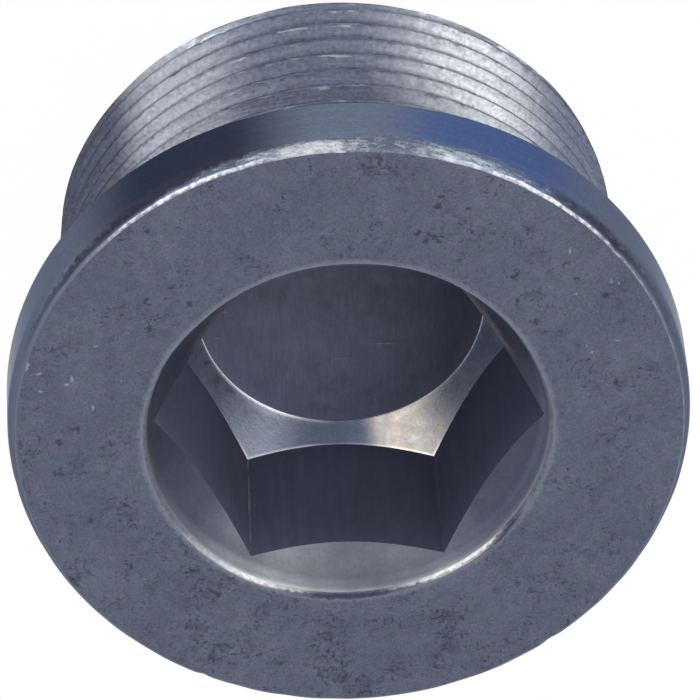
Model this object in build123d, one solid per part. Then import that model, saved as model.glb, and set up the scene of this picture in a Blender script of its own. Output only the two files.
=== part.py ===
from build123d import *
import math
import os

# Hex socket screw plug: a threaded steel plug with a round collar and a blind hexagon socket.
# One turned and pressed solid, in millimetres, standing on its thread end with the head up.
# +Z runs along the plug's axis, out of the head. The origin is the centre of the thread end.

# --- driving dimensions: collar ---
overall_length = 20.0
collar_diameter = 36.0
collar_thickness = 4.0
rim_crown_depth = 1.3         # the rim curves in over this height, up to the head face
rim_crown_width = 0.37        # and by this much, measured across the face
face_edge_radius = 0.15       # between the rim and the head face
seat_edge_break = 0.1         # small break on the collar's lower edge

# --- driving dimensions: threaded shank ---
thread_diameter = 29.96       # over the crests; the shank is the thread's outer envelope
thread_end_chamfer = 1.5
relief_diameter = 27.7        # run-out groove under the collar, where the sealing ring sits
relief_width = 3.0
relief_fillet = 0.6           # at the groove's foot, where its run-out starts

# --- driving dimensions: hexagon socket ---
hex_across_flats = 17.5       # at hex_depth, where the key bottoms
hex_draft_deg = 1.15          # the flats open towards the mouth, as the punch leaves them
hex_depth = 9.9               # from the head face to the corners' lower ends
socket_cone_deg = 95.8        # cone between the flats and the floor, included angle
socket_floor_diameter = 15.56
socket_floor_fillet = 0.3
mouth_diameter = 21.7         # where the mouth's rounded lip meets the head face
mouth_lip_radius = 0.3
mouth_wall_depth = 1.05       # from the head face to the top of the lead-in cone
mouth_cone_deg = 102.0        # lead-in cone for the key, included angle
mouth_fillet = 0.5            # between the mouth's short wall and its cone

# --- worked out from the above ---
collar_radius = collar_diameter / 2
thread_radius = thread_diameter / 2
relief_radius = relief_diameter / 2
seat_z = overall_length - collar_thickness
relief_bottom_z = seat_z - relief_width
clear_above = 2.0             # how far the cutting tools reach past the head face


def rise(width, included_deg):
    """Height that a cone of this included angle gains over a step in radius."""
    return width / math.tan(math.radians(included_deg / 2))


def corners_at(section, radius, low_z, high_z):
    """Corners of a sketched section at one radius, between two heights."""
    return section.vertices().filter_by(
        lambda v: abs(v.X - radius) < 1e-6 and low_z - 1e-6 < v.Y < high_z + 1e-6
    )


def turned_blank():
    """Collar, run-out groove and shank, as they leave the lathe."""
    groove_run_out = thread_radius - relief_radius
    crown_start = (collar_radius, overall_length - rim_crown_depth)
    face_edge = (collar_radius - rim_crown_width, overall_length)
    points = [
        (0, 0),
        (thread_radius - thread_end_chamfer, 0),
        (thread_radius, thread_end_chamfer),
        (thread_radius, relief_bottom_z - groove_run_out),
        (relief_radius, relief_bottom_z),
        (relief_radius, seat_z),
        (collar_radius - seat_edge_break, seat_z),
        (collar_radius, seat_z + seat_edge_break),
        crown_start,
    ]
    with BuildPart() as blank:
        with BuildSketch(Plane.XZ) as section:
            with BuildLine():
                Polyline(*points)
                TangentArc(crown_start, face_edge, tangent=(0, 1))
                Polyline(face_edge, (0, overall_length), (0, 0))
            make_face()
            fillet(corners_at(section, relief_radius, relief_bottom_z, relief_bottom_z), relief_fillet)
            fillet(corners_at(section, face_edge[0], overall_length, overall_length), face_edge_radius)
        revolve(axis=Axis.Z)
    return blank.part


def hexagon_prism():
    """The drafted hexagon, from below the socket floor to above the head face. Two flats face +Y and -Y."""
    growth = math.tan(math.radians(hex_draft_deg))
    start_below = hex_depth / 2
    low_z = overall_length - hex_depth - start_below
    apothem = hex_across_flats / 2 - start_below * growth
    with BuildPart() as prism:
        with BuildSketch(Plane.XY.offset(low_z)):
            RegularPolygon(apothem, 6, major_radius=False)
        extrude(amount=overall_length + clear_above - low_z, taper=-hex_draft_deg)
    return prism.part


def socket_envelope():
    """Round space that the punch's cone and flat nose bound at the socket's lower end."""
    corner_radius = hex_across_flats / math.sqrt(3)
    floor_radius = socket_floor_diameter / 2
    floor_z = overall_length - hex_depth - rise(corner_radius - floor_radius, socket_cone_deg)
    outer_radius = mouth_diameter / 2
    outer_z = floor_z + rise(outer_radius - floor_radius, socket_cone_deg)
    high_z = overall_length + clear_above
    with BuildPart() as space:
        with BuildSketch(Plane.XZ) as section:
            with BuildLine():
                Polyline(
                    (0, floor_z),
                    (floor_radius, floor_z),
                    (outer_radius, outer_z),
                    (outer_radius, high_z),
                    (0, high_z),
                    close=True,
                )
            make_face()
            fillet(corners_at(section, floor_radius, floor_z, floor_z), socket_floor_fillet)
        revolve(axis=Axis.Z)
    return space.part


def mouth_cutter():
    """Lead-in cone, short round wall and rounded lip at the socket's mouth."""
    wall_radius = mouth_diameter / 2 - mouth_lip_radius
    wall_z = overall_length - mouth_wall_depth
    lip_z = overall_length - mouth_lip_radius
    high_z = overall_length + clear_above
    apex_z = wall_z - rise(wall_radius, mouth_cone_deg)
    with BuildPart() as cutter:
        with BuildSketch(Plane.XZ) as section:
            with BuildLine():
                Polyline((0, apex_z), (wall_radius, wall_z), (wall_radius, lip_z))
                RadiusArc(
                    (wall_radius, lip_z), (mouth_diameter / 2, overall_length), mouth_lip_radius
                )
                Polyline(
                    (mouth_diameter / 2, overall_length),
                    (mouth_diameter / 2, high_z),
                    (0, high_z),
                    (0, apex_z),
                )
            make_face()
            fillet(corners_at(section, wall_radius, wall_z, wall_z), mouth_fillet)
        revolve(axis=Axis.Z)
    return cutter.part


plug_body = turned_blank() - (hexagon_prism() & socket_envelope()) - mouth_cutter()

os.makedirs("parts", exist_ok=True)
export_step(plug_body, "parts/plug_body.step")
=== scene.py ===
import math

import bmesh
import bpy
from mathutils import Matrix, Vector, noise


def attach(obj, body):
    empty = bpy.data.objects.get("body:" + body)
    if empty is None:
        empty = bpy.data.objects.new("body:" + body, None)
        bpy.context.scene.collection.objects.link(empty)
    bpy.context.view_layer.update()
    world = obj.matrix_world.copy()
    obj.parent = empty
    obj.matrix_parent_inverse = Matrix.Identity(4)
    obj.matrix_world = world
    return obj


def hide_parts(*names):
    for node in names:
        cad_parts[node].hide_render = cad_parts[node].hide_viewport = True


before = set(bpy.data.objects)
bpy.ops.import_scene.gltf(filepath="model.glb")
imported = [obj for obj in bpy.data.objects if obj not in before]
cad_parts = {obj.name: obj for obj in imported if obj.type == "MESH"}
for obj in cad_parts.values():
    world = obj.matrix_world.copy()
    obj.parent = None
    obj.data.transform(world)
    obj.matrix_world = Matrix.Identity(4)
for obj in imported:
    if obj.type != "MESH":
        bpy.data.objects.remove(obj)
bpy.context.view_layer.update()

MM = 0.001
scene = bpy.context.scene
scene.view_settings.view_transform = "Standard"

# ---------------------------------------------------------------------------
# Threaded shank. A fine M30 x 1.5 right-hand thread is cut in the steel blank,
# from the chamfer at the plug's end up to the run-out groove under the collar.
# The flanks carry painted highlights and shade round the axis and painted shade in the roots, and the crests
# are dark with nicks.
# ---------------------------------------------------------------------------
columns = 432                    # round the axis: six sides of the hexagon, 72 to a side
thread_pitch = 1.5 * MM
crest_radius = 14.98 * MM
thread_depth = 0.92 * MM
crest_flat = thread_pitch / 8
flank_half_angle = math.radians(30)
end_chamfer = 1.5 * MM
groove_radius = 13.85 * MM
groove_foot = 13.0 * MM          # height at which the run-out cone meets the groove
crest_start = 0.72               # where the crest lies at the +X side, as a share of the pitch
lead_in = 0.8 * MM               # over which the first turn comes to its full depth
nick_depth = 0.09 * MM
nick_size = 0.7 * MM
rows_per_turn = 12
turns = 11
one_point = 1e-6                 # metres, within which two points are one


class Field:
    """A value that varies over a surface, as a node gives it. Its sums and products are Math nodes."""

    def __init__(self, node, output=0):
        self.tree = node.id_data
        self.output = node.outputs[output]

    def __add__(self, other):
        return calc("ADD", self, other)

    def __sub__(self, other):
        return calc("SUBTRACT", self, other)

    def __rsub__(self, other):
        return calc("SUBTRACT", other, self)

    def __mul__(self, other):
        return calc("MULTIPLY", self, other)

    def __rtruediv__(self, other):
        return calc("DIVIDE", other, self)


def add(tree, kind, inputs=None, **settings):
    """A node with its settings made and its inputs set, or linked where a field is given."""
    made = tree.nodes.new(kind)
    for name, value in settings.items():
        setattr(made, name, value)
    for key, value in (inputs or {}).items():
        if isinstance(value, Field):
            tree.links.new(value.output, made.inputs[key])
        else:
            made.inputs[key].default_value = value
    return made


def tree_of(*values):
    """The node tree of the first field among the values."""
    return next(value.tree for value in values if isinstance(value, Field))


def calc(operation, *values):
    """One Math node; each value is a number or a field."""
    return Field(add(tree_of(*values), "ShaderNodeMath", dict(enumerate(values)), operation=operation))


def vector_calc(operation, *values, output=0):
    """One Vector Math node; each value is a vector or a field."""
    made = add(tree_of(*values), "ShaderNodeVectorMath", dict(enumerate(values)), operation=operation)
    return Field(made, output)


def lower(first, second):
    """The lower of two values."""
    return calc("MINIMUM", first, second)


def higher(first, second):
    """The higher of two values."""
    return calc("MAXIMUM", first, second)


def ramp_between(value, low, high, to_low=0.0, to_high=1.0, smooth=False):
    """The value's place between low and high, held at both ends."""
    kind = "SMOOTHSTEP" if smooth else "LINEAR"
    inputs = {"Value": value, "From Min": low, "From Max": high, "To Min": to_low, "To Max": to_high}
    return Field(add(value.tree, "ShaderNodeMapRange", inputs, interpolation_type=kind), "Result")


def patches(place, size, seed=0.0, detail=2.0, stretch=(1, 1, 1)):
    """Noise about 0.5 whose patches are roughly size across, drawn out by stretch."""
    scale = tuple(1 / (size * s) for s in stretch)
    drawn = vector_calc("MULTIPLY", place, scale)
    inputs = {"Vector": drawn, "W": seed, "Scale": 1.0, "Detail": detail}
    return Field(add(place.tree, "ShaderNodeTexNoise", inputs, noise_dimensions="4D"))


def varied(place, size, seed, low, high):
    """A level that noise moves between low and high."""
    return ramp_between(patches(place, size, seed), 0.3, 0.7, low, high)


def split(place):
    """The X, Y and Z of a point or a direction."""
    parts = add(place.tree, "ShaderNodeSeparateXYZ", {0: place})
    return [Field(parts, axis) for axis in "XYZ"]


def on_ring(radius, angle, height):
    """The point at that distance from the axis, angle in radians and height."""
    inputs = {"X": radius * calc("COSINE", angle), "Y": radius * calc("SINE", angle), "Z": height}
    return Field(add(angle.tree, "ShaderNodeCombineXYZ", inputs))


def thread_tree():
    """Geometry nodes for a cut thread: helical rows, wrapped round the axis and trimmed."""
    tree = bpy.data.node_groups.new("cut_thread", "GeometryNodeTree")
    sizes = {
        "Pitch": thread_pitch,
        "Crest radius": crest_radius,
        "Depth": thread_depth,
        "Crest flat": crest_flat,
        "Flank rise": thread_depth * math.tan(flank_half_angle),
        "End chamfer": end_chamfer,
        "Lead in": lead_in,
        "Groove radius": groove_radius,
        "Top": groove_foot,
        "Crest start": crest_start,
        "Nick depth": nick_depth,
    }
    counts = {"Columns": columns, "Rows per turn": rows_per_turn, "Turns": turns}
    tree.interface.new_socket("Geometry", in_out="OUTPUT", socket_type="NodeSocketGeometry")
    for name in sizes:
        tree.interface.new_socket(name, in_out="INPUT", socket_type="NodeSocketFloat")
    for name in counts:
        tree.interface.new_socket(name, in_out="INPUT", socket_type="NodeSocketInt")
    tree.interface.new_socket("Material", in_out="INPUT", socket_type="NodeSocketMaterial")
    entry = tree.nodes.new("NodeGroupInput")
    given = {name: Field(entry, name) for name in (*sizes, *counts, "Material")}

    grid = add(tree, "GeometryNodeMeshGrid", {
        "Size X": 1.0, "Size Y": 1.0, "Vertices X": given["Columns"] + 1,
        "Vertices Y": given["Rows per turn"] * given["Turns"] + 1,
    })
    across, along, _ = split(Field(add(tree, "GeometryNodeInputPosition")))
    around = across + 0.5
    turn = (along + 0.5) * given["Turns"]
    rounding = 1e-4                  # of a turn, so that a whole turn isn't read as just under one
    whole = calc("FLOOR", turn + rounding)
    part = turn - whole
    to_root = 1.0 - calc("ABSOLUTE", part * 2.0 - 1.0)

    flat_share = 1 / 6               # rows of a half turn that lie on the crest, and again on the root
    half_crest = given["Crest flat"] * 0.5
    half_root = given["Pitch"] * 0.5 - (half_crest + given["Flank rise"])
    down = ramp_between(to_root, flat_share, 1 - flat_share)
    on_crest = ramp_between(to_root, 0.0, flat_share) * half_crest
    on_root = ramp_between(to_root, 1 - flat_share, 1.0) * half_root
    from_crest = on_crest + down * given["Flank rise"] + on_root
    second_half = calc("GREATER_THAN", part, 0.5)
    offset = second_half * (given["Pitch"] - from_crest) + (1.0 - second_half) * from_crest
    turns_up = whole + around + (given["Crest start"] - 2.0)
    height = lower(higher(turns_up * given["Pitch"] + offset, 0.0), given["Top"])

    # The first turn is shallow where it comes in over the chamfer.
    lead_top = given["End chamfer"] + given["Lead in"]
    down = down * ramp_between(height, given["End chamfer"], lead_top)

    # Knocks on the crest. The pattern is read round the crest cylinder, so that it closes on itself.
    angle = around * math.tau
    on_cylinder = on_ring(given["Crest radius"], angle, height)
    knocked = ramp_between(patches(on_cylinder, nick_size, 2.0), 0.6, 0.75)
    knock = knocked * given["Nick depth"] * (1.0 - down)
    cut = given["Crest radius"] - (knock + down * given["Depth"])
    end_cone = given["Crest radius"] - given["End chamfer"] + height
    run_out = given["Groove radius"] + (given["Top"] - height)
    wrapped = on_ring(lower(cut, lower(end_cone, run_out)), angle, height)

    noted = add(tree, "GeometryNodeStoreNamedAttribute",
                {"Geometry": Field(grid, "Mesh"), "Name": "root_depth", "Value": down}, data_type="FLOAT")
    placed = add(tree, "GeometryNodeSetPosition", {"Geometry": Field(noted), "Position": wrapped})
    merged = add(tree, "GeometryNodeMergeByDistance", {"Geometry": Field(placed), "Distance": one_point})
    real = add(tree, "GeometryNodeRealizeInstances", {"Geometry": Field(merged)})
    painted = add(tree, "GeometryNodeSetMaterial",
                  {"Geometry": Field(real), "Material": given["Material"]})
    add(tree, "NodeGroupOutput", {"Geometry": Field(painted)})
    return tree, {**sizes, **counts}


def tone(red, green, blue):
    """A colour given as a screen shows it, 0 to 255, made linear."""
    return tuple(((level / 255 + 0.055) / 1.055) ** 2.4 for level in (red, green, blue)) + (1.0,)


def scaled(colour, factor):
    """A colour made lighter or darker, or a vector made longer or shorter."""
    inputs = {0: colour, "Scale": factor}
    return Field(add(colour.tree, "ShaderNodeVectorMath", inputs, operation="SCALE"))


def steel(name, metallic, grazing=(1.0, 1.0, 1.0)):
    """A new finish and the place of its points in mm. Grazing is the tint of its glare at low angles."""
    material = bpy.data.materials.new(name)
    material.use_nodes = True
    shader = material.node_tree.nodes["Principled BSDF"]
    shader.inputs["Metallic"].default_value = metallic
    shader.inputs["Specular Tint"].default_value = (*grazing, 1.0)
    return material, scaled(Field(add(material.node_tree, "ShaderNodeTexCoord"), "Object"), 1 / MM)


def azimuth_of(place):
    """Direction from the plug's axis in degrees, from -180 to 180."""
    x, y, _ = split(place)
    return calc("ARCTAN2", y, x) * (180 / math.pi)


def blend(share, first, second, kind="MIX"):
    """A mix of two colours, from the first at a share of 0 to the second at 1."""
    inputs = {0: share, 6: first, 7: second}
    return Field(add(tree_of(share, first), "ShaderNodeMix", inputs, data_type="RGBA", blend_type=kind), 2)


def ring_ramp(azimuth, stops):
    """A colour that eases from stop to stop round the axis and closes on the first, which is at -180."""
    ramp = add(azimuth.tree, "ShaderNodeValToRGB", {0: azimuth * (1 / 360) + 0.5})
    ramp.color_ramp.interpolation = "EASE"
    elements = ramp.color_ramp.elements
    elements[0].color = elements[1].color = stops[0][1]
    for degrees, colour in stops[1:]:
        elements.new((degrees + 180) / 360).color = colour
    return Field(ramp, "Color")


def tone_round(azimuth, stops):
    """A colour that changes round the axis. Stops are (azimuth in degrees, red, green, blue)."""
    return ring_ramp(azimuth, [(degrees, tone(*colour)) for degrees, *colour in stops])


def level_round(azimuth, stops):
    """A level that changes round the axis. Stops are (azimuth in degrees, level)."""
    return ring_ramp(azimuth, [(degrees, (level, level, level, 1)) for degrees, level in stops])


def grained(place, colour, depth, size, seed=0.0, detail=3.0, stretch=(1, 1, 1)):
    """The colour made lighter and darker by noise, by up to about the share depth."""
    field = patches(place, size, seed, detail, stretch)
    return scaled(colour, ramp_between(field, 0.25, 0.75, 1 - depth, 1 + depth))


def finished(material, colour, roughness, relief, depth):
    """The finish with all that varies over it linked. Relief runs from 0 to 1, and its depth is in mm."""
    tree = material.node_tree
    shader = tree.nodes["Principled BSDF"]
    bump = add(tree, "ShaderNodeBump", {"Height": relief, "Distance": depth * MM})
    tree.links.new(colour.output, shader.inputs["Base Color"])
    tree.links.new(roughness.output, shader.inputs["Roughness"])
    tree.links.new(bump.outputs["Normal"], shader.inputs["Normal"])
    return material


def make_thread_steel():
    """Cut flanks with painted highlights and shade round the axis, fine marks along the turns, painted shade
    in the roots, ragged crests, and some stain.
    """
    material, place = steel("thread_steel", metallic=1.0, grazing=(0.4, 0.4, 0.4))
    azimuth = azimuth_of(place)
    # Painted highlights and shade: the flanks are bright where the lamps glint on them and shaded at one
    # side.
    plain, bright, shaded = tone(108, 114, 132), tone(146, 151, 162), tone(80, 86, 102)
    flank = ring_ramp(azimuth, [
        (-180, plain), (-145, plain), (-127, bright), (-112, bright), (-92, plain), (-74, plain),
        (-58, bright), (-48, bright), (-34, shaded), (-12, shaded), (40, plain),
    ])
    flank = grained(place, flank, depth=0.2, size=0.5, seed=1.0, stretch=(6, 6, 0.35))
    flank = grained(place, flank, depth=0.2, size=0.14, seed=2.0, stretch=(1.6, 1.6, 0.8))
    flank = grained(place, flank, depth=0.2, size=0.3, seed=11.0, stretch=(0.8, 0.8, 3))
    stain = ramp_between(patches(place, 1.1, 3.0, 4.0), 0.6, 0.72)
    flank = blend(stain * 0.35, flank, tone(104, 100, 96))
    speck = ramp_between(patches(place, 0.28, 8.0, 2.0, stretch=(1.6, 1.6, 0.7)), 0.68, 0.76)
    flank = blend(speck * 0.6, flank, tone(66, 64, 64))
    root_depth = Field(add(place.tree, "ShaderNodeAttribute", attribute_name="root_depth"), "Fac")
    # Painted light: the flanks are made lighter towards the root, against the shade that falls there.
    flank = scaled(flank, root_depth * 0.35 + 1.0)

    # Painted shade lies in the roots, where each turn hides the next, more of it on the flanks that face the
    # head.
    ragged = patches(place, 0.22, 4.0, 3.0) * 0.3 - 0.15
    root_shade_foot = level_round(azimuth, [
        (-180, 0.34), (-150, 0.41), (-120, 0.57), (-90, 0.66), (-60, 0.57), (-30, 0.41), (0, 0.34),
        (30, 0.7), (150, 0.7),
    ])
    facing_up = split(Field(add(place.tree, "ShaderNodeNewGeometry"), "Normal"))[2]
    less_root_shade = ramp_between(facing_up, 0.1, -0.1, 0.0, 0.35)
    root_shade = ramp_between(ragged * 0.5 + root_depth - root_shade_foot - less_root_shade, -0.04, 0.08)
    flank = blend(root_shade * 0.75, flank, tone(40, 43, 56))

    # The crests are dark in places, and rubbed bright in front.
    on_crest = ramp_between(root_depth + ragged, 0.14, 0.04)
    dark_crest = ramp_between(patches(place, 0.3, 5.0, 3.0, stretch=(2, 2, 1)), 0.52, 0.66)
    crest = blend(dark_crest * 0.5, flank, tone(50, 53, 66))
    front = level_round(azimuth, [(-180, 0), (-100, 0), (-88, 0.7), (-72, 0.7), (-62, 0), (0, 0)])
    worn_crest = ramp_between(patches(place, 0.3, 9.0, 3.0, stretch=(4, 4, 0.5)), 0.56, 0.66)
    crest = blend(worn_crest * front, crest, tone(196, 201, 209))
    colour = blend(on_crest, flank, crest)
    roughness = varied(place, 0.2, 6.0, 0.32, 0.42)
    lines = patches(place, 0.16, 7.0, 2.0, stretch=(8, 8, 0.6))
    return finished(material, colour, roughness, lines, depth=0.01)


thread_steel = make_thread_steel()
thread_group, thread_sizes = thread_tree()
thread_sizes["Material"] = thread_steel
shank_maker = bpy.data.objects.new("shank_maker", bpy.data.meshes.new("shank_maker"))
scene.collection.objects.link(shank_maker)
cutter = shank_maker.modifiers.new("cut_thread", "NODES")
cutter.node_group = thread_group
for socket in thread_group.interface.items_tree:
    if socket.in_out == "INPUT":
        cutter[socket.identifier] = thread_sizes[socket.name]
bpy.context.view_layer.update()
evaluated = shank_maker.evaluated_get(bpy.context.evaluated_depsgraph_get())
shank_mesh = bpy.data.meshes.new_from_object(evaluated)
shank_maker.modifiers.remove(cutter)
bpy.data.objects.remove(shank_maker)
shank_mesh.polygons.foreach_set("material_index", [0] * len(shank_mesh.polygons))

# ---------------------------------------------------------------------------
# Collar. It is turned on the same blank: a groove and a flat sealing seat below,
# a smooth rim with painted reflections, and a crowned upper edge that knocks have worn bright,
# with painted shade and highlights beside it.
# ---------------------------------------------------------------------------
head_height = 20.0 * MM
seat_height = 16.0 * MM
seat_break = 0.1 * MM
collar_radius = 18.0 * MM
crown_depth = 1.3 * MM
crown_width = 0.37 * MM
face_edge_radius = 0.15 * MM
crown_start = head_height - crown_depth
wear_depth = 0.05 * MM
wear_size = 1.6 * MM
wear_bias = 0.15                 # added to noise about 0, so that more than half of the edge is rubbed
wear_full = 0.6 * crown_depth    # above the crown's foot, where wear comes to its full depth
wear_inwards, wear_down = 0.8, 0.6
dents = [(-88.5, 1.6, 0.12), (-107.0, 1.2, 0.06), (-71.0, 1.4, 0.05), (-141.0, 0.9, 0.06),
         (12.0, 1.2, 0.07), (64.0, 0.9, 0.06), (128.0, 1.5, 0.08)]
# Each dent is its azimuth and half width in degrees, and its depth in mm.


def steps(start, end, count):
    """Evenly spaced values after start, up to and with end."""
    return [start + (end - start) * (i + 1) / count for i in range(count)]


def straight(start, end, count):
    """Points (distance from the axis, height) on the line from start to end, without start."""
    return list(zip(steps(start[0], end[0], count), steps(start[1], end[1], count)))


def arc(centre_r, centre_z, radius, start, end, count):
    """Points on an arc round a centre, from the angle start to the angle end, without the first."""
    angles = steps(start, end, count)
    return [(centre_r + radius * math.cos(a), centre_z + radius * math.sin(a)) for a in angles]


def worn(azimuth, radius, height):
    """A point of the crowned edge after wear: low, uneven rubbing and a few dents, all cut inwards."""
    along = Vector((collar_radius * math.cos(azimuth), collar_radius * math.sin(azimuth), height))
    cut = wear_depth * max(0.0, noise.noise(along / wear_size) + wear_bias)
    for centre, half_width, depth in dents:
        off = (math.degrees(azimuth) - centre + 180) % 360 - 180
        cut += depth * MM * math.exp(-(off / half_width) ** 2)
    share = min(1.0, max(0.0, (height - crown_start) / wear_full))
    return radius - wear_inwards * cut * share, height - wear_down * cut * share


def seat_rows(azimuth):
    """Groove wall and sealing seat, from the thread's run-out to the rim."""
    rows = [(groove_radius, groove_foot)]
    rows += straight(rows[-1], (groove_radius, seat_height), count=4)
    rows += straight(rows[-1], (collar_radius - seat_break, seat_height), count=5)
    return rows


def rim_rows(azimuth):
    """The rim, the crown as an arc tangent to it, and the small fillet that joins it to the face."""
    rows = [(collar_radius, seat_height + seat_break)]
    rows += straight(rows[-1], (collar_radius, crown_start), count=5)
    crown_radius = (crown_width ** 2 + crown_depth ** 2) / (2 * crown_width)
    centre_r = collar_radius - crown_radius
    fillet_z = head_height - face_edge_radius
    rise = fillet_z - crown_start
    fillet_r = centre_r + math.sqrt((crown_radius - face_edge_radius) ** 2 - rise ** 2)
    meet = math.atan2(rise, fillet_r - centre_r)
    crown = arc(centre_r, crown_start, crown_radius, 0, meet, count=10)
    fillet = arc(fillet_r, fillet_z, face_edge_radius, meet, math.pi / 2, count=5)
    return rows + [worn(azimuth, r, z) for r, z in crown + fillet]


def depth_of(place):
    """Depth below the face, in mm."""
    return head_height / MM - split(place)[2]


def radius_of(place):
    """Distance from the plug's axis, in mm."""
    x, y, _ = split(place)
    return calc("SQRT", x * x + y * y)


def make_turned_rim():
    """Smooth turned steel with painted reflections round it, its upper edge knocked bright and rough in
    front, with painted shade and highlights at the sides.
    """
    material, place = steel("turned_rim", metallic=1.0, grazing=(0.45, 0.49, 0.59))
    azimuth, depth = azimuth_of(place), depth_of(place)
    # Painted reflections round the wall: blue, pale and dark at the front, grey and a faint blue elsewhere.
    grey, pale, black = tone(106, 111, 126), tone(108, 116, 136), tone(52, 56, 70)
    blue_reflection, faint_blue = tone(80, 98, 142), tone(84, 94, 118)
    wall = ring_ramp(azimuth, [
        (-180, grey), (-138, grey), (-120, blue_reflection), (-107, blue_reflection), (-92, pale), (-86, pale), (-69, black),
        (-54, black), (-34, grey), (20, grey), (75, faint_blue), (110, grey),
    ])
    wall = grained(place, wall, depth=0.1, size=0.5, seed=1.0, stretch=(8, 8, 0.3))
    wall = grained(place, wall, depth=0.12, size=0.22, seed=2.0)
    speck = ramp_between(patches(place, 0.45, 3.0, 3.0), 0.7, 0.76)
    wall = blend(speck * 0.5, wall, tone(50, 54, 68))

    # The worn band: how far down it reaches (1 at the face, 0 at 1 mm below) and how strong it is.
    uneven = patches(place, 0.55, 4.0, 4.0) - 0.5
    band_foot = level_round(azimuth, [
        (-180, 0.95), (-136, 0.8), (-124, 0.5), (-114, 0.08), (-107, 0.02), (-95, 0.1), (-84, 0.16),
        (-74, 0.32), (-66, 0.4), (-58, 0.6), (-50, 0.85), (-30, 0.95),
    ])
    band_share = level_round(azimuth, [
        (-180, 0), (-150, 0), (-130, 0.8), (-100, 0.9), (-84, 1), (-74, 0.8), (-66, 0.5), (-56, 0.5),
        (-36, 0.1), (-24, 0), (90, 0),
    ])
    up = uneven * 0.8 + ramp_between(depth, 2.0, 0.0, -1.0, 1.0)
    in_band = ramp_between(up - band_foot, -0.08, 0.2) * band_share

    # Knocks within the band, brightest round its middle.
    brightness = level_round(azimuth, [
        (-180, 0.1), (-118, 0), (-107, 0.6), (-98, 0), (-95, 0), (-84, 1), (-68, 0), (-30, 0.1),
    ])
    middle = ramp_between(depth, 0.8, 0.5) * ramp_between(depth, 0.0, 0.25, 0.6, 1.0)
    streaks = patches(place, 0.3, 5.0, 3.0, stretch=(1.8, 1.8, 0.5)) * 0.7
    streaks = streaks + patches(place, 0.13, 6.0, 2.0) * 0.3
    knocks = ramp_between(brightness * middle * 0.32 + streaks, 0.5, 0.86)
    band = blend(knocks, tone(97, 105, 122), tone(210, 215, 221))
    pitted = ramp_between(patches(place, 0.2, 12.0, 2.0), 0.62, 0.7)
    band = blend(pitted * 0.6, band, tone(76, 78, 90))
    colour = blend(in_band, wall, band)

    # Outside the worn band the crown ends in the dull grey of the face, which reaches lower at the sides.
    dull_depth = level_round(azimuth, [
        (-180, 0.9), (-160, 0.85), (-150, 0.5), (-140, 0.34), (-40, 0.34), (-28, 0.7), (-16, 0.95),
        (0, 1), (90, 0.7),
    ])
    dull = ramp_between(uneven * 0.3 - depth + dull_depth, 0.0, 0.22) * (1.0 - in_band)
    colour = blend(dull, colour, tone(105, 111, 128))

    # Painted shade and a painted dark, jagged line beside the lit edge at the two sides.
    side_shade = level_round(azimuth, [
        (-180, 0), (-150, 0.2), (-140, 0.7), (-131, 0.8), (-123, 0.3), (-114, 0), (-62, 0), (-52, 0.4),
        (-44, 0.45), (-34, 0.1), (-24, 0),
    ])
    side_shade = ramp_between(depth, 1.05, 0.7) * (side_shade * 0.8)
    colour = blend(side_shade, colour, tone(62, 66, 82))
    dark_line = level_round(azimuth, [
        (-180, 0), (-166, 0.1), (-154, 0.3), (-142, 0.55), (-128, 0.4), (-118, 0.05), (-110, 0), (-64, 0),
        (-56, 0.15), (-48, 0.5), (-36, 0.65), (-26, 0.4), (-12, 0),
    ])
    jagged = patches(place, 0.4, 10.0, 5.0) * 1.2 - 0.62
    inside = ramp_between(depth - jagged, 0.7, 0.45) * ramp_between(depth, 0.14, 0.22)
    colour = blend(inside * dark_line, colour, tone(26, 29, 41))

    # The edge itself, with a painted highlight in front; the line thins and fades out towards the sides.
    edge_light = level_round(azimuth, [
        (-180, 0.12), (-158, 0.15), (-124, 0.75), (-98, 0.05), (-90, 0.08), (-60, 0.8), (-32, 0), (110, 0.1),
    ])
    edge_foot = level_round(azimuth, [
        (-180, 0.95), (-150, 0.93), (-138, 0.88), (-120, 0.8), (-90, 0.82), (-60, 0.8), (-48, 0.86),
        (-38, 0.92), (-20, 0.95),
    ])
    broken = ramp_between(patches(place, 0.3, 11.0, 4.0), 0.4, 0.6, 0.25, 1.0)
    above = uneven * 0.12 + ramp_between(depth, 1.0, 0.0) - edge_foot
    edge = ramp_between(above, 0.0, 0.05) * (edge_light * broken)
    colour = blend(edge, colour, tone(226, 229, 236))
    roughness = ramp_between(higher(in_band, dull), 0.0, 1.0, 0.24, 0.46)
    lines = patches(place, 0.2, 6.0, 2.0, stretch=(8, 8, 0.4))
    return finished(material, colour, roughness, knocks * in_band * 2.0 + lines * 0.4, depth=0.012)


def make_hidden_turning():
    """Plain turned steel on the groove, seat and thread end, with the tool's rings."""
    material, place = steel("hidden_turning", metallic=1.0)
    across = add(place.tree, "ShaderNodeCombineXYZ", {"X": radius_of(place), "Y": split(place)[2]})
    rings = patches(Field(across), 0.14, 1.0, 2.0)
    colour = blend(ramp_between(rings, 0.3, 0.7), tone(96, 101, 116), tone(128, 133, 146))
    colour = grained(place, colour, depth=0.14, size=0.25, seed=2.0)
    stain = ramp_between(patches(place, 1.8, 3.0, 4.0), 0.55, 0.7)
    colour = blend(stain * 0.45, colour, tone(74, 76, 86))
    roughness = varied(place, 0.8, 4.0, 0.3, 0.45)
    return finished(material, colour, roughness, rings, depth=0.01)


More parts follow.
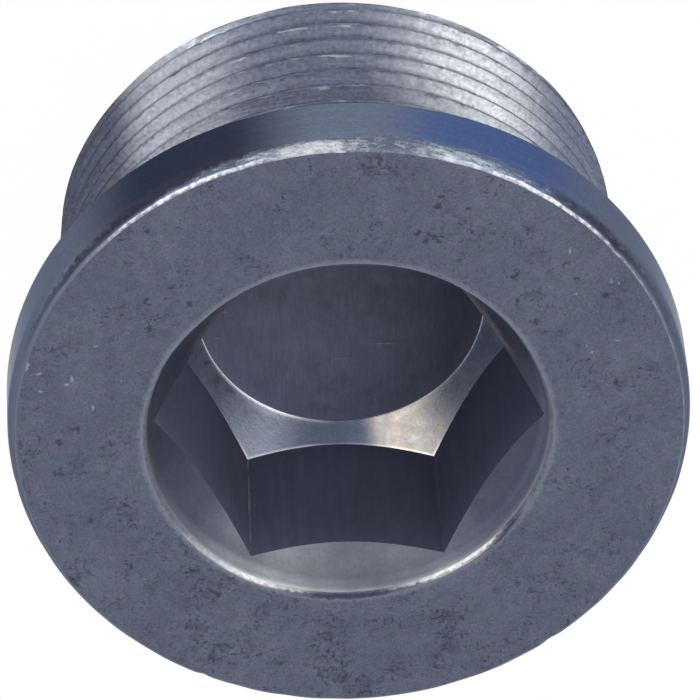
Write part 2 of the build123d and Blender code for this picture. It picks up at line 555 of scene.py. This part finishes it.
# ---------------------------------------------------------------------------
# Head face. The flat ring round the socket is matt grey oxide as forged and
# rolled, full of fine dark pits, with a few dark blotches and bright nicks.
# ---------------------------------------------------------------------------
mouth_edges = [(-180, 10.74), (-160, 10.6), (-135, 10.62), (-110, 10.68), (-90, 10.62), (-45, 10.6),
               (-20, 10.8), (0, 10.91), (30, 10.95), (55, 11.0), (75, 10.92), (100, 10.84), (120, 10.8),
               (145, 10.7)]      # azimuth in degrees and radius in mm
dark_blotches = [
    (-4.2, -12.2, 0.32), (-3.4, -12.5, 0.16), (-4.4, -14.1, 0.16), (-4.6, -14.7, 0.1),
    (-5.9, -13.9, 0.15), (-6.2, -12.5, 0.13), (-7.1, -12.9, 0.15), (-9.1, -12.5, 0.18),
    (-8.5, -9.7, 0.18), (-11.1, -10.4, 0.15), (-11.6, -9.5, 0.15), (-13.2, -8.3, 0.15),
    (-13.3, -4.0, 0.15), (-13.9, -2.9, 0.15), (-14.6, -6.6, 0.12), (-9.6, -6.7, 0.15),
    (10.6, -12.9, 0.13), (10.7, -8.4, 0.18), (8.5, -8.3, 0.15), (10.5, -6.8, 0.15), (14.4, -0.4, 0.15),
    (15.3, 0.4, 0.18), (15.3, 2.4, 0.18), (13.1, 2.8, 0.12), (11.7, 4.6, 0.15), (13.6, 5.4, 0.15),
    (8.4, 9.0, 0.24), (7.0, 10.4, 0.28),
]                                # x, y and radius in mm
bright_nicks = [
    (-11.3, -11.2, 0.05, 0.14), (-13.5, -9.3, 0.04, 0.12), (-13.9, -9.1, 0.04, 0.1),
    (-11.7, -8.5, 0.05, 0.05), (-12.3, -5.2, 0.05, 0.06), (-12.6, -4.8, 0.05, 0.05),
    (-14.0, -5.5, 0.14, 0.04), (16.9, -4.5, 0.1, 0.26), (16.5, -4.0, 0.2, 0.08), (16.2, -2.9, 0.12, 0.06),
    (14.6, -3.7, 0.06, 0.14), (14.9, -3.3, 0.12, 0.06), (12.0, -3.5, 0.04, 0.1), (13.5, -1.8, 0.04, 0.16),
    (13.3, -5.7, 0.12, 0.04),
]                                # x, y and half lengths along X and Y in mm
mark_start, mark_full = 1.4, 0.6  # how far out a mark starts and is full, as shares of its half length


def mouth_edge(azimuth):
    """Distance from the axis to the mouth's worn edge, eased between the stops."""
    degrees = (math.degrees(azimuth) + 180) % 360 - 180
    ring = mouth_edges + [(180, mouth_edges[0][1])]
    for (first, before), (second, after) in zip(ring, ring[1:]):
        if degrees <= second:
            t = (degrees - first) / (second - first)
            return (before + (after - before) * t * t * (3 - 2 * t)) * MM


def face_rows(azimuth):
    """The flat face, from the worn edge in to the mouth."""
    outer = rim_rows(azimuth)[-1][0]
    return [(r, head_height) for r in steps(outer, mouth_edge(azimuth), count=16)]


def marked(place, marks, ragged, height):
    """1 inside any of the oval marks at that height and 0 outside, with their edges made ragged."""
    inside = 0.0
    for x, y, half_x, half_y in marks:
        off = vector_calc("SUBTRACT", place, (x, y, height / MM))
        off = vector_calc("MULTIPLY", off, (1 / half_x, 1 / half_y, 1.0))
        share = vector_calc("LENGTH", off, output="Value")
        inside = higher(inside, ramp_between(share + ragged, mark_start, mark_full))
    return inside


def make_face_oxide():
    """Matt oxide: fine grain, soft clouds, crowded dark pits, blotches and nicks."""
    material, place = steel("face_oxide", metallic=0.9)
    clouds = ramp_between(patches(place, 4.0, 1.0, 3.0), 0.35, 0.65)
    colour = blend(clouds, tone(89, 95, 113), tone(97, 103, 120))
    hue = ramp_between(patches(place, 0.9, 10.0, 3.0), 0.35, 0.65)
    colour = blend(1.0, colour, blend(hue, tone(251, 255, 252), tone(255, 251, 255)), "MULTIPLY")
    colour = grained(place, colour, depth=0.12, size=0.6, seed=2.0, detail=4.0)
    colour = grained(place, colour, depth=0.24, size=0.14, seed=3.0)

    # Pits crowd together in places, and a little more towards +Y.
    crowd = patches(place, 2.2, 4.0) * 0.5 - 0.25 + ramp_between(split(place)[1], 6.0, 14.0, 0.0, 0.035)
    along = patches(place, 0.26, 5.0, 3.0, stretch=(1.6, 0.8, 1))
    across = patches(place, 0.26, 12.0, 3.0, stretch=(0.8, 1.6, 1))
    pits = ramp_between(higher(along, across) + crowd, 0.61, 0.74)
    smudge = ramp_between(patches(place, 0.6, 13.0, 4.0) + crowd, 0.56, 0.72)
    colour = blend(smudge * 0.35, colour, tone(62, 66, 86))
    colour = blend(pits * 0.75, colour, tone(52, 55, 74))
    ragged = patches(place, 0.3, 6.0, 5.0) - 0.5
    round_blotches = [(x, y, size, size) for x, y, size in dark_blotches]
    blotch = marked(place, round_blotches, ragged * 8.0, head_height)
    colour = blend(blotch * 0.7, colour, tone(50, 53, 70))
    nick = marked(place, bright_nicks, ragged * 5.0, head_height)
    stray = ramp_between(patches(place, 0.16, 7.0, 1.0, stretch=(0.7, 1.6, 1)), 0.77, 0.84)
    colour = blend(higher(nick, stray * 0.6) * 0.6, colour, tone(152, 158, 174))

    # Beside the mouth the face is rubbed lighter, and a painted shadow line follows part of the edge.
    azimuth = azimuth_of(place)
    base_radius = 10.0
    edge_radius = level_round(azimuth, [(degrees, r - base_radius) for degrees, r in mouth_edges])
    from_edge = radius_of(place) - base_radius - edge_radius
    wear_and_highlight = ramp_between(ragged * 0.5 + from_edge, 0.32, 0.05, 0.0, 0.55)
    colour = blend(wear_and_highlight, colour, tone(134, 140, 156))
    edge_shadow_reach = level_round(azimuth, [
        (-180, 0.1), (-124, 0), (-116, 0.4), (-106, 0), (40, 0), (70, 0), (80, 0.7), (96, 0.7),
        (104, 0.1), (128, 0.2), (140, 0.8), (150, 0.2),
    ])
    edge_shadow = ramp_between(ragged * 0.5 + from_edge, 0.14, 0.04)
    colour = blend(edge_shadow * edge_shadow_reach, colour, tone(40, 41, 62))
    roughness = varied(place, 0.5, 8.0, 0.45, 0.6)
    relief = patches(place, 0.12, 9.0, 3.0) - higher(pits, blotch)
    return finished(material, colour, roughness, relief, depth=0.01)


# ---------------------------------------------------------------------------
# Socket mouth. A wide lead-in cone, pressed with the socket, runs up into a
# short rounded wall and a narrow bevel at the face, with painted light and shade round the axis and painted
# highlights on the bevel.
# ---------------------------------------------------------------------------
bevel_tilt = math.radians(31.0)      # of the bevel's normal above the level
bevel_round = 0.03 * MM
bevel_width = 0.15 * MM
wall_radius = 10.55 * MM
mouth_wall_depth = 1.05 * MM
mouth_fillet = 0.8 * MM
mouth_cone = math.radians(51.0)      # from the axis
flats_half_width = 8.75 * MM         # at flats_depth
flats_depth = 9.9 * MM
flats_draft = math.tan(math.radians(1.15))
meeting_rounds = 20                  # in which the height where cone and flats meet settles


def hexagon_radius(azimuth, height):
    """Distance from the axis to the socket's flats. Corners lie on the X axis, and two flats face Y."""
    from_flat = (azimuth % (math.pi / 3)) - math.pi / 6
    half_width = flats_half_width + (flats_depth - (head_height - height)) * flats_draft
    return half_width / math.cos(from_flat)


def mouth_rows(azimuth):
    """Bevel, rounded wall, fillet and cone, down to the arch in which the cone meets the flats."""
    edge_r = mouth_edge(azimuth)
    rows = arc(edge_r, head_height - bevel_round, bevel_round, math.pi / 2, math.pi - bevel_tilt, count=3)
    start_r, start_z = rows[-1]
    foot_r = edge_r - bevel_width
    foot_z = start_z - (start_r - foot_r) / math.tan(bevel_tilt)
    rows += straight(rows[-1], (foot_r, foot_z), count=2)
    wall_r = min(wall_radius + (edge_r - wall_radius - bevel_width) / 2, foot_r - bevel_round)
    wall_round = min((foot_r - wall_r) / (1 - math.cos(bevel_tilt)), mouth_wall_depth / 2)
    wall_r = foot_r - wall_round * (1 - math.cos(bevel_tilt))
    wall_top = foot_z - wall_round * math.sin(bevel_tilt)
    rows += arc(wall_r + wall_round, wall_top, wall_round, math.pi - bevel_tilt, math.pi, count=3)
    cone_tan = math.tan(mouth_cone)
    wall_end = head_height - mouth_wall_depth
    knee_z = wall_end + (wall_r - wall_radius) / cone_tan
    start_z = knee_z + mouth_fillet * math.tan(mouth_cone / 2)
    rows.append((wall_r, start_z))
    rows += arc(wall_r - mouth_fillet, start_z, mouth_fillet, 0, -mouth_cone, count=8)
    meet_z = rows[-1][1]
    for _ in range(meeting_rounds):
        meet_z = wall_end - (wall_radius - hexagon_radius(azimuth, meet_z)) / cone_tan
    rows += straight(rows[-1], (hexagon_radius(azimuth, meet_z), meet_z), count=6)
    return rows


def out_from_flat(place, half_width):
    """How far, in mm, a point lies outside the hexagon of that half width."""
    from_flat = calc("RADIANS", 30.0 - calc("PINGPONG", azimuth_of(place), 30.0))
    return radius_of(place) - half_width / calc("COSINE", from_flat)


def make_mouth_steel():
    """Satin pressed steel with painted light and shade round the axis and on its wall, and a bevel with
    painted highlights and a painted shadow line.
    """
    material, place = steel("mouth_steel", metallic=0.55, grazing=(0.35, 0.35, 0.35))
    azimuth, depth = azimuth_of(place), depth_of(place)
    # Painted light and shade round the axis: lighter at the near and far sides, darker at the sides between.
    dark, satin = tone(54, 58, 73), tone(74, 79, 97)
    light, painted_lit = tone(102, 107, 120), tone(124, 127, 136)
    colour = ring_ramp(azimuth, [
        (-180, satin), (-150, dark), (-118, satin), (-90, light), (-45, satin), (-20, dark), (2, dark),
        (35, satin), (55, light), (70, painted_lit), (92, light), (112, light), (142, satin),
    ])
    colour = grained(place, colour, depth=0.12, size=1.2, seed=1.0)
    colour = grained(place, colour, depth=0.12, size=0.18, seed=2.0)
    spot = ramp_between(patches(place, 0.4, 3.0, 3.0), 0.7, 0.76)
    colour = blend(spot * 0.4, colour, tone(62, 66, 80))

    # Painted light: the upright part is made lighter than the cone, and less blue, and the knee lighter at
    # the -X side.
    wall_light = level_round(azimuth, [
        (-180, 1), (-160, 0.4), (-135, 0.6), (-110, 0.1), (-60, 0.3), (-20, 0.4), (0, 0.8), (80, 0.8),
        (105, 0.6), (120, 1), (160, 1),
    ])
    upright = ramp_between(depth, 1.15, 0.45) * wall_light
    knee_light = level_round(azimuth, [
        (-180, 0.6), (-150, 0.3), (-20, 0.1), (20, 0.1), (45, 0), (110, 0), (140, 0.35), (165, 0.6),
    ])
    knee = ramp_between(depth, 1.55, 1.25, smooth=True) * ramp_between(depth, 0.85, 1.15, smooth=True)
    colour = scaled(colour, knee * knee_light + (upright * 2.7 + 1.0))
    inputs = {"Color": colour, "Saturation": 1.0 - upright * 0.8}
    colour = Field(add(place.tree, "ShaderNodeHueSaturation", inputs))

    # A rubbed strip follows the arches at the far side.
    ragged = patches(place, 0.25, 6.0, 4.0) - 0.5
    arch_half_width = 8.91
    strip_reach = level_round(azimuth, [
        (-180, 0), (-164, 0), (-150, 0.7), (-134, 0.7), (-120, 0.2), (-110, 0), (-60, 0), (-48, 0.3),
        (-30, 0.4), (-20, 0),
    ])
    strip = ramp_between(ragged * 0.5 + out_from_flat(place, arch_half_width), 0.4, 0.15)
    colour = blend(strip * strip_reach, colour, tone(116, 115, 118))

    # The bevel, with painted highlights at two places of the near side and painted shade beside them.
    whole, wear_and_highlight, shaded = tone(120, 125, 141), tone(240, 240, 239), tone(90, 94, 113)
    half_highlight = tone(185, 187, 194)
    bevel_tone = ring_ramp(azimuth, [
        (-180, whole), (30, whole), (48, half_highlight), (62, wear_and_highlight), (74, half_highlight), (84, shaded),
        (98, shaded), (108, half_highlight), (118, wear_and_highlight), (132, wear_and_highlight), (144, shaded), (156, whole),
    ])
    bevel_tone = grained(place, bevel_tone, depth=0.35, size=0.3, seed=7.0)
    colour = blend(ramp_between(depth, 0.32, 0.24), colour, bevel_tone)

    # A painted shadow line along its outer edge on the near side; the line is thin beside the painted
    # highlights.
    bevel_shadow_reach = level_round(azimuth, [
        (-180, 0), (36, 0), (50, 0.3), (66, 0.4), (82, 0.9), (100, 0.9), (116, 0.45), (130, 0.45),
        (142, 0.9), (150, 0),
    ])
    bevel_shadow_depth = depth - ragged * 0.35 - bevel_shadow_reach * 0.15
    bevel_shadow = ramp_between(bevel_shadow_depth, 0.05, -0.01) * ramp_between(bevel_shadow_reach, 0.0, 0.6, 0.0, 0.75)
    colour = blend(bevel_shadow, colour, tone(56, 58, 82))
    roughness = higher(varied(place, 0.6, 4.0, 0.34, 0.46), ramp_between(depth, 1.8, 1.3, 0.4, 0.6))
    return finished(material, colour, roughness, patches(place, 0.15, 5.0, 3.0), depth=0.008)


# ---------------------------------------------------------------------------
# Hexagon flats. Six drafted sides pressed cold by the punch, dark and fairly
# even, with painted light and shade from side to side and a fine painted highlight down each corner.
# ---------------------------------------------------------------------------
lower_cone = math.radians(47.9)      # from the axis
floor_radius = 7.78 * MM
floor_fillet = 0.12 * MM
corner_radius = 2 * flats_half_width / math.sqrt(3)
floor_height = head_height - flats_depth - (corner_radius - floor_radius) / math.tan(lower_cone)


def flat_foot(azimuth):
    """Height at which the flats meet the lower cone."""
    foot = head_height - flats_depth
    for _ in range(meeting_rounds):
        foot = floor_height + (hexagon_radius(azimuth, foot) - floor_radius) / math.tan(lower_cone)
    return foot


def flat_rows(azimuth):
    """One of the flats, from the arch at the mouth down to the lower cone."""
    top = mouth_rows(azimuth)[-1][1]
    return [(hexagon_radius(azimuth, z), z) for z in steps(top, flat_foot(azimuth), count=8)]


def make_pressed_flats():
    """Dark cold-pressed steel with faint marks down the stroke, painted lighter or darker side by side, with
    painted highlights down the corners.
    """
    material, place = steel("pressed_flats", metallic=0.4)
    azimuth = azimuth_of(place)
    # Painted light and shade: each side is a little lighter or darker.
    colour = tone_round(azimuth, [
        (-180, 84, 88, 112), (-90, 98, 102, 124), (0, 105, 109, 134), (60, 100, 104, 127),
        (100, 92, 96, 118), (140, 82, 86, 109),
    ])
    colour = grained(place, colour, depth=0.12, size=1.5, seed=1.0, stretch=(0.3, 0.3, 3))
    colour = grained(place, colour, depth=0.08, size=0.25, seed=2.0)
    # A painted highlight down each corner, stronger on some sides.
    corner = ramp_between(calc("PINGPONG", azimuth, 30.0), 0.45, 0.15)
    corner_light = level_round(azimuth, [(-180, 0.15), (0, 0.3), (60, 0.5), (90, 0.4), (120, 0.12)])
    broken = ramp_between(patches(place, 1.2, 3.0), 0.35, 0.6)
    colour = blend(corner * (corner_light * broken), colour, tone(190, 194, 206))
    roughness = varied(place, 0.8, 4.0, 0.42, 0.55)
    lines = patches(place, 0.2, 5.0, 2.0, stretch=(0.5, 0.5, 5))
    return finished(material, colour, roughness, lines, depth=0.008)


# ---------------------------------------------------------------------------
# Lower cone and socket floor. The cone left by the pilot drill shows as a
# polished web between the flats' feet and the flat round floor.
# ---------------------------------------------------------------------------
def cone_rows(azimuth):
    """The lower cone, from a flat's foot to the fillet at the floor."""
    foot_z = flat_foot(azimuth)
    foot_r = hexagon_radius(azimuth, foot_z)
    back = floor_fillet * math.tan((math.pi / 2 - lower_cone) / 2)
    end_r = floor_radius + back * math.sin(lower_cone)
    end_z = floor_height + back * math.cos(lower_cone)
    rows = straight((foot_r, foot_z), (end_r, end_z), count=5)
    fillet_z = floor_height + floor_fillet
    return rows + arc(floor_radius - back, fillet_z, floor_fillet, -lower_cone, -math.pi / 2, count=3)


def floor_rows(azimuth):
    """The flat floor, from its fillet in towards the centre."""
    outer = cone_rows(azimuth)[-1][0]
    return [(r, floor_height) for r in steps(outer, floor_radius / 12, count=9)]


def make_lower_cone_steel():
    """Polished web with pits, painted reflections and a warm painted highlight round the axis, and painted
    highlights as bright lines along its edges.
    """
    material, place = steel("lower_cone_steel", metallic=1.0)
    azimuth = azimuth_of(place)
    # Painted reflections round the axis, with painted shade about 90 degrees and a warm painted highlight
    # from 106 to 122 degrees.
    silver, grey, satin = tone(174, 184, 206), tone(114, 118, 130), tone(134, 141, 159)
    shaded, warm = tone(88, 95, 116), tone(156, 155, 155)
    colour = ring_ramp(azimuth, [
        (-180, silver), (-160, silver), (-90, grey), (-10, silver), (20, silver), (42, satin), (62, satin),
        (81, shaded), (98, shaded), (106, warm), (122, warm), (138, grey), (155, satin),
    ])
    hue = ramp_between(patches(place, 0.5, 1.0, 3.0), 0.35, 0.65)
    tinted = blend(1.0, colour, blend(hue, tone(255, 238, 224), tone(232, 246, 255)), "MULTIPLY")
    # The hue varies warm and cool within the painted highlight.
    highlight_hue = level_round(azimuth, [(-180, 0), (98, 0), (108, 0.8), (128, 0.6), (142, 0)])
    colour = blend(highlight_hue, colour, tinted)
    colour = grained(place, colour, depth=0.1, size=0.5, seed=2.0)
    colour = grained(place, colour, depth=0.14, size=0.1, seed=3.0)
    pitted = level_round(azimuth, [(-180, 0.7), (-150, 0.7), (0, 0.3), (90, 0.3), (140, 0.5)])
    pits = ramp_between(patches(place, 0.22, 4.0, 3.0), 0.64, 0.74) * pitted
    colour = blend(pits, colour, tone(46, 48, 60))

    # A painted highlight as a bright line where the cone meets the floor, and another where it meets the
    # foot of a flat.
    floor_line = level_round(azimuth, [
        (-180, 0), (-20, 0.2), (10, 0.5), (40, 0.7), (66, 0.5), (80, 0.2), (90, 0), (150, 0),
    ])
    out_from_floor = radius_of(place) - floor_radius / MM
    at_floor = ramp_between(out_from_floor, 0.12, 0.08) * floor_line
    foot_line = level_round(azimuth, [
        (-180, 0), (50, 0), (61, 0.6), (76, 0.5), (88, 0.1), (100, 0.2), (112, 0.7), (121, 0.7), (126, 0),
    ])
    foot_half_width = 8.74
    at_foot = ramp_between(out_from_flat(place, foot_half_width), -0.12, -0.04) * foot_line
    colour = blend(higher(at_floor, at_foot), colour, tone(214, 216, 222))
    roughness = varied(place, 0.5, 5.0, 0.26, 0.34)
    return finished(material, colour, roughness, patches(place, 0.15, 6.0, 3.0), depth=0.006)


def make_socket_floor():
    """Dull pressed floor with faint strokes, painted light and shade across it and a few scratches."""
    material, place = steel("socket_floor", metallic=0.8)
    x, y, _ = split(place)
    # Painted light and shade: lighter towards +X and towards +Y.
    colour = blend(ramp_between(x, -6.0, 8.5), tone(74, 78, 95), tone(120, 124, 147))
    colour = scaled(colour, ramp_between(y, -0.5, 6.5, 0.62, 1.5))
    colour = grained(place, colour, depth=0.1, size=1.6, seed=1.0)
    colour = grained(place, colour, depth=0.12, size=0.3, seed=2.0, stretch=(0.5, 4, 1))
    colour = grained(place, colour, depth=0.1, size=0.14, seed=3.0)
    scratch = ramp_between(patches(place, 0.5, 4.0, 1.0, stretch=(0.2, 2.5, 1)), 0.7, 0.78)
    colour = blend(scratch * 0.3, colour, tone(130, 134, 148))
    scratches = [(-0.05, 3.67, 0.5, 0.03), (-2.4, 2.72, 0.9, 0.03), (0.43, 4.05, 0.03, 0.6),
                 (2.8, 4.7, 0.05, 0.3), (6.2, 0.5, 0.16, 0.05), (6.6, 2.2, 0.16, 0.06)]
    ragged = patches(place, 0.3, 8.0, 3.0) * 3.0 - 1.5
    scratched = marked(place, scratches, ragged, floor_height)
    colour = blend(scratched * 0.6, colour, tone(140, 144, 156))
    roughness = varied(place, 0.6, 5.0, 0.4, 0.55)
    lines = patches(place, 0.2, 6.0, 2.0, stretch=(0.5, 4, 1))
    return finished(material, colour, roughness, lines, depth=0.008)


# ---------------------------------------------------------------------------
# The plug itself: shank, collar, face and socket are one closed surface, as the
# real one is one piece of steel. Each zone keeps its own finish.
# ---------------------------------------------------------------------------
zones = [("hidden_turning", seat_rows), ("turned_rim", rim_rows), ("face_oxide", face_rows),
         ("mouth_steel", mouth_rows), ("pressed_flats", flat_rows), ("lower_cone_steel", cone_rows),
         ("socket_floor", floor_rows)]
finishes = [thread_steel, make_turned_rim(), make_face_oxide(), make_mouth_steel(), make_pressed_flats(),
            make_lower_cone_steel(), make_socket_floor(), make_hidden_turning()]
finish_number = {material.name: i for i, material in enumerate(finishes)}
sharp_angle = math.radians(26)


def end_rows(azimuth):
    """The flat thread end, from its edge in towards the centre."""
    edge = crest_radius - end_chamfer
    return [(edge, 0.0)] + [(r, 0.0) for r in steps(edge, edge / 8, count=5)]


def turned_mesh(name, parts, flip=False):
    """A mesh of columns round the axis, closed at the middle, from (finish, rows) parts in order."""
    points, faces, numbers = [], [], []
    for i in range(columns):
        azimuth = math.tau * i / columns
        for _, rows in parts:
            points += [(r * math.cos(azimuth), r * math.sin(azimuth), z) for r, z in rows(azimuth)]
    finish_of_row = [finish_number[finish] for finish, rows in parts for _ in rows(0.0)]
    count = len(finish_of_row)
    centre = len(points)
    points.append((0.0, 0.0, points[-1][2]))
    for i in range(columns):
        here, there = i * count, ((i + 1) % columns) * count
        for j in range(count - 1):
            faces.append((here + j, there + j, there + j + 1, here + j + 1))
            numbers.append(finish_of_row[j + 1])
        faces.append((here + count - 1, there + count - 1, centre))
        numbers.append(finish_of_row[-1])
    if flip:
        faces = [tuple(reversed(face)) for face in faces]
    made = bpy.data.meshes.new(name)
    made.from_pydata(points, [], faces)
    made.polygons.foreach_set("material_index", numbers)
    return made


head_mesh = turned_mesh("head", zones)
end_mesh = turned_mesh("end", [("hidden_turning", end_rows)], flip=True)
plug_mesh = bpy.data.meshes.new("plug")
joined = bmesh.new()
for part in (shank_mesh, head_mesh, end_mesh):
    joined.from_mesh(part)
bmesh.ops.remove_doubles(joined, verts=joined.verts, dist=2 * one_point)
bmesh.ops.recalc_face_normals(joined, faces=joined.faces)
joined.to_mesh(plug_mesh)
joined.free()
for part in (shank_mesh, head_mesh, end_mesh):
    bpy.data.meshes.remove(part)
plug = bpy.data.objects.new("plug", plug_mesh)
scene.collection.objects.link(plug)
plug_mesh.shade_smooth()
plug_mesh.set_sharp_from_angle(angle=sharp_angle)
for material in finishes:
    plug_mesh.materials.append(material)

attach(plug, "root")
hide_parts("plug_body")

# ---------------------------------------------------------------------------
# Floor, light and camera. A pale table under the plug, soft lamps and a plain
# pale surround.
# ---------------------------------------------------------------------------
floor_half = 3.0
floor_drop = 0.02 * MM
white_share = 0.985
matte_grey = 0.9
surround_strength = 0.75
floor_mesh = bpy.data.meshes.new("floor")
floor_mesh.from_pydata([(-floor_half, -floor_half, 0), (floor_half, -floor_half, 0),
                        (floor_half, floor_half, 0), (-floor_half, floor_half, 0)], [], [(0, 1, 2, 3)])
floor = bpy.data.objects.new("floor", floor_mesh)
floor.location = (0, 0, -floor_drop)
scene.collection.objects.link(floor)


def bare_tree(owner):
    """The node tree of a material or a world, with nothing in it."""
    owner.use_nodes = True
    owner.node_tree.nodes.clear()
    return owner.node_tree


def seen(tree):
    """1 for what the camera sees, straight or in gloss or glass, and 0 for light on its way elsewhere."""
    path = add(tree, "ShaderNodeLightPath")
    camera_ray, glossy_ray = Field(path, "Is Camera Ray"), Field(path, "Is Glossy Ray")
    return higher(camera_ray, higher(glossy_ray, Field(path, "Is Transmission Ray")))


floor_paint = bpy.data.materials.new("floor_paint")
tree = bare_tree(floor_paint)
matte = add(tree, "ShaderNodeBsdfDiffuse", {"Color": (matte_grey, matte_grey, matte_grey, 1)})
white = add(tree, "ShaderNodeEmission", {"Color": (1, 1, 1, 1), "Strength": 1.0})
mix = add(tree, "ShaderNodeMixShader", {0: seen(tree) * white_share, 1: Field(matte), 2: Field(white)})
add(tree, "ShaderNodeOutputMaterial", {"Surface": Field(mix)})
floor_mesh.materials.append(floor_paint)

world = bpy.data.worlds.new("surround")
scene.world = world
tree = bare_tree(world)
strength = seen(tree) * (1.0 - surround_strength) + surround_strength
glow = add(tree, "ShaderNodeBackground", {"Color": (1, 1, 1, 1), "Strength": strength})
add(tree, "ShaderNodeOutputWorld", {"Surface": Field(glow)})


def softbox(name, azimuth, elevation, width, height, radiance, colour, distance=0.45):
    """An oblong lamp that faces the plug, with its brightness given as the radiance seen."""
    lamp = bpy.data.lights.new(name, "AREA")
    lamp.shape = "RECTANGLE"
    lamp.size, lamp.size_y = width, height
    lamp.energy = radiance * math.pi * width * height
    lamp.color = colour
    holder = bpy.data.objects.new(name, lamp)
    turn, rise = math.radians(azimuth), math.radians(elevation)
    way = Vector((math.cos(turn) * math.cos(rise), math.sin(turn) * math.cos(rise), math.sin(rise)))
    holder.location = way * distance + Vector((0, 0, head_height))
    holder.rotation_euler = way.to_track_quat("Z", "Y").to_euler()
    scene.collection.objects.link(holder)


# Azimuth and elevation in degrees, width and height in metres, radiance, and colour.
softbox("key_softbox", -152.6, 54.1, 0.17, 0.17, 4.0, (1.0, 0.93, 0.82))
softbox("side_softbox", -15.3, 54.2, 0.12, 0.12, 1.8, (1.0, 0.95, 0.88))
softbox("front_softbox", -54.6, 40.5, 0.2, 0.09, 3.0, (1.0, 0.92, 0.82))
softbox("low_right_strip", -140.0, 6.0, 0.28, 0.12, 4.5, (0.95, 0.97, 1.03))
softbox("low_left_strip", -41.0, 6.0, 0.28, 0.12, 4.5, (0.95, 0.97, 1.03))

camera_azimuth = math.radians(4.13)
camera_elevation = math.radians(55.27)
camera_roll = math.radians(175.61)
camera_distance = 0.4296
camera_aim = Vector((-0.45, 1.79, 10.0)) * MM
centring = Vector((-0.0065, 0.0553))  # mm to the right and up, which centre the plug in the frame
camera_data = bpy.data.cameras.new("camera")
camera_data.sensor_width = 36.0
camera_data.lens = 411.4
camera_data.clip_start, camera_data.clip_end = 0.01, 20.0
camera = bpy.data.objects.new("camera", camera_data)
scene.collection.objects.link(camera)
flat_right = Vector((math.cos(camera_azimuth), math.sin(camera_azimuth), 0))
back = Vector((math.sin(camera_azimuth) * math.cos(camera_elevation),
               -math.cos(camera_azimuth) * math.cos(camera_elevation), math.sin(camera_elevation)))
right = flat_right * math.cos(camera_roll) + back.cross(flat_right) * math.sin(camera_roll)
up = back.cross(right)
turned = Matrix((right, up, back)).transposed().to_4x4()
camera_aim += (right * centring.x + up * centring.y) * MM
camera.matrix_world = Matrix.Translation(camera_aim + back * camera_distance) @ turned
scene.camera = camera
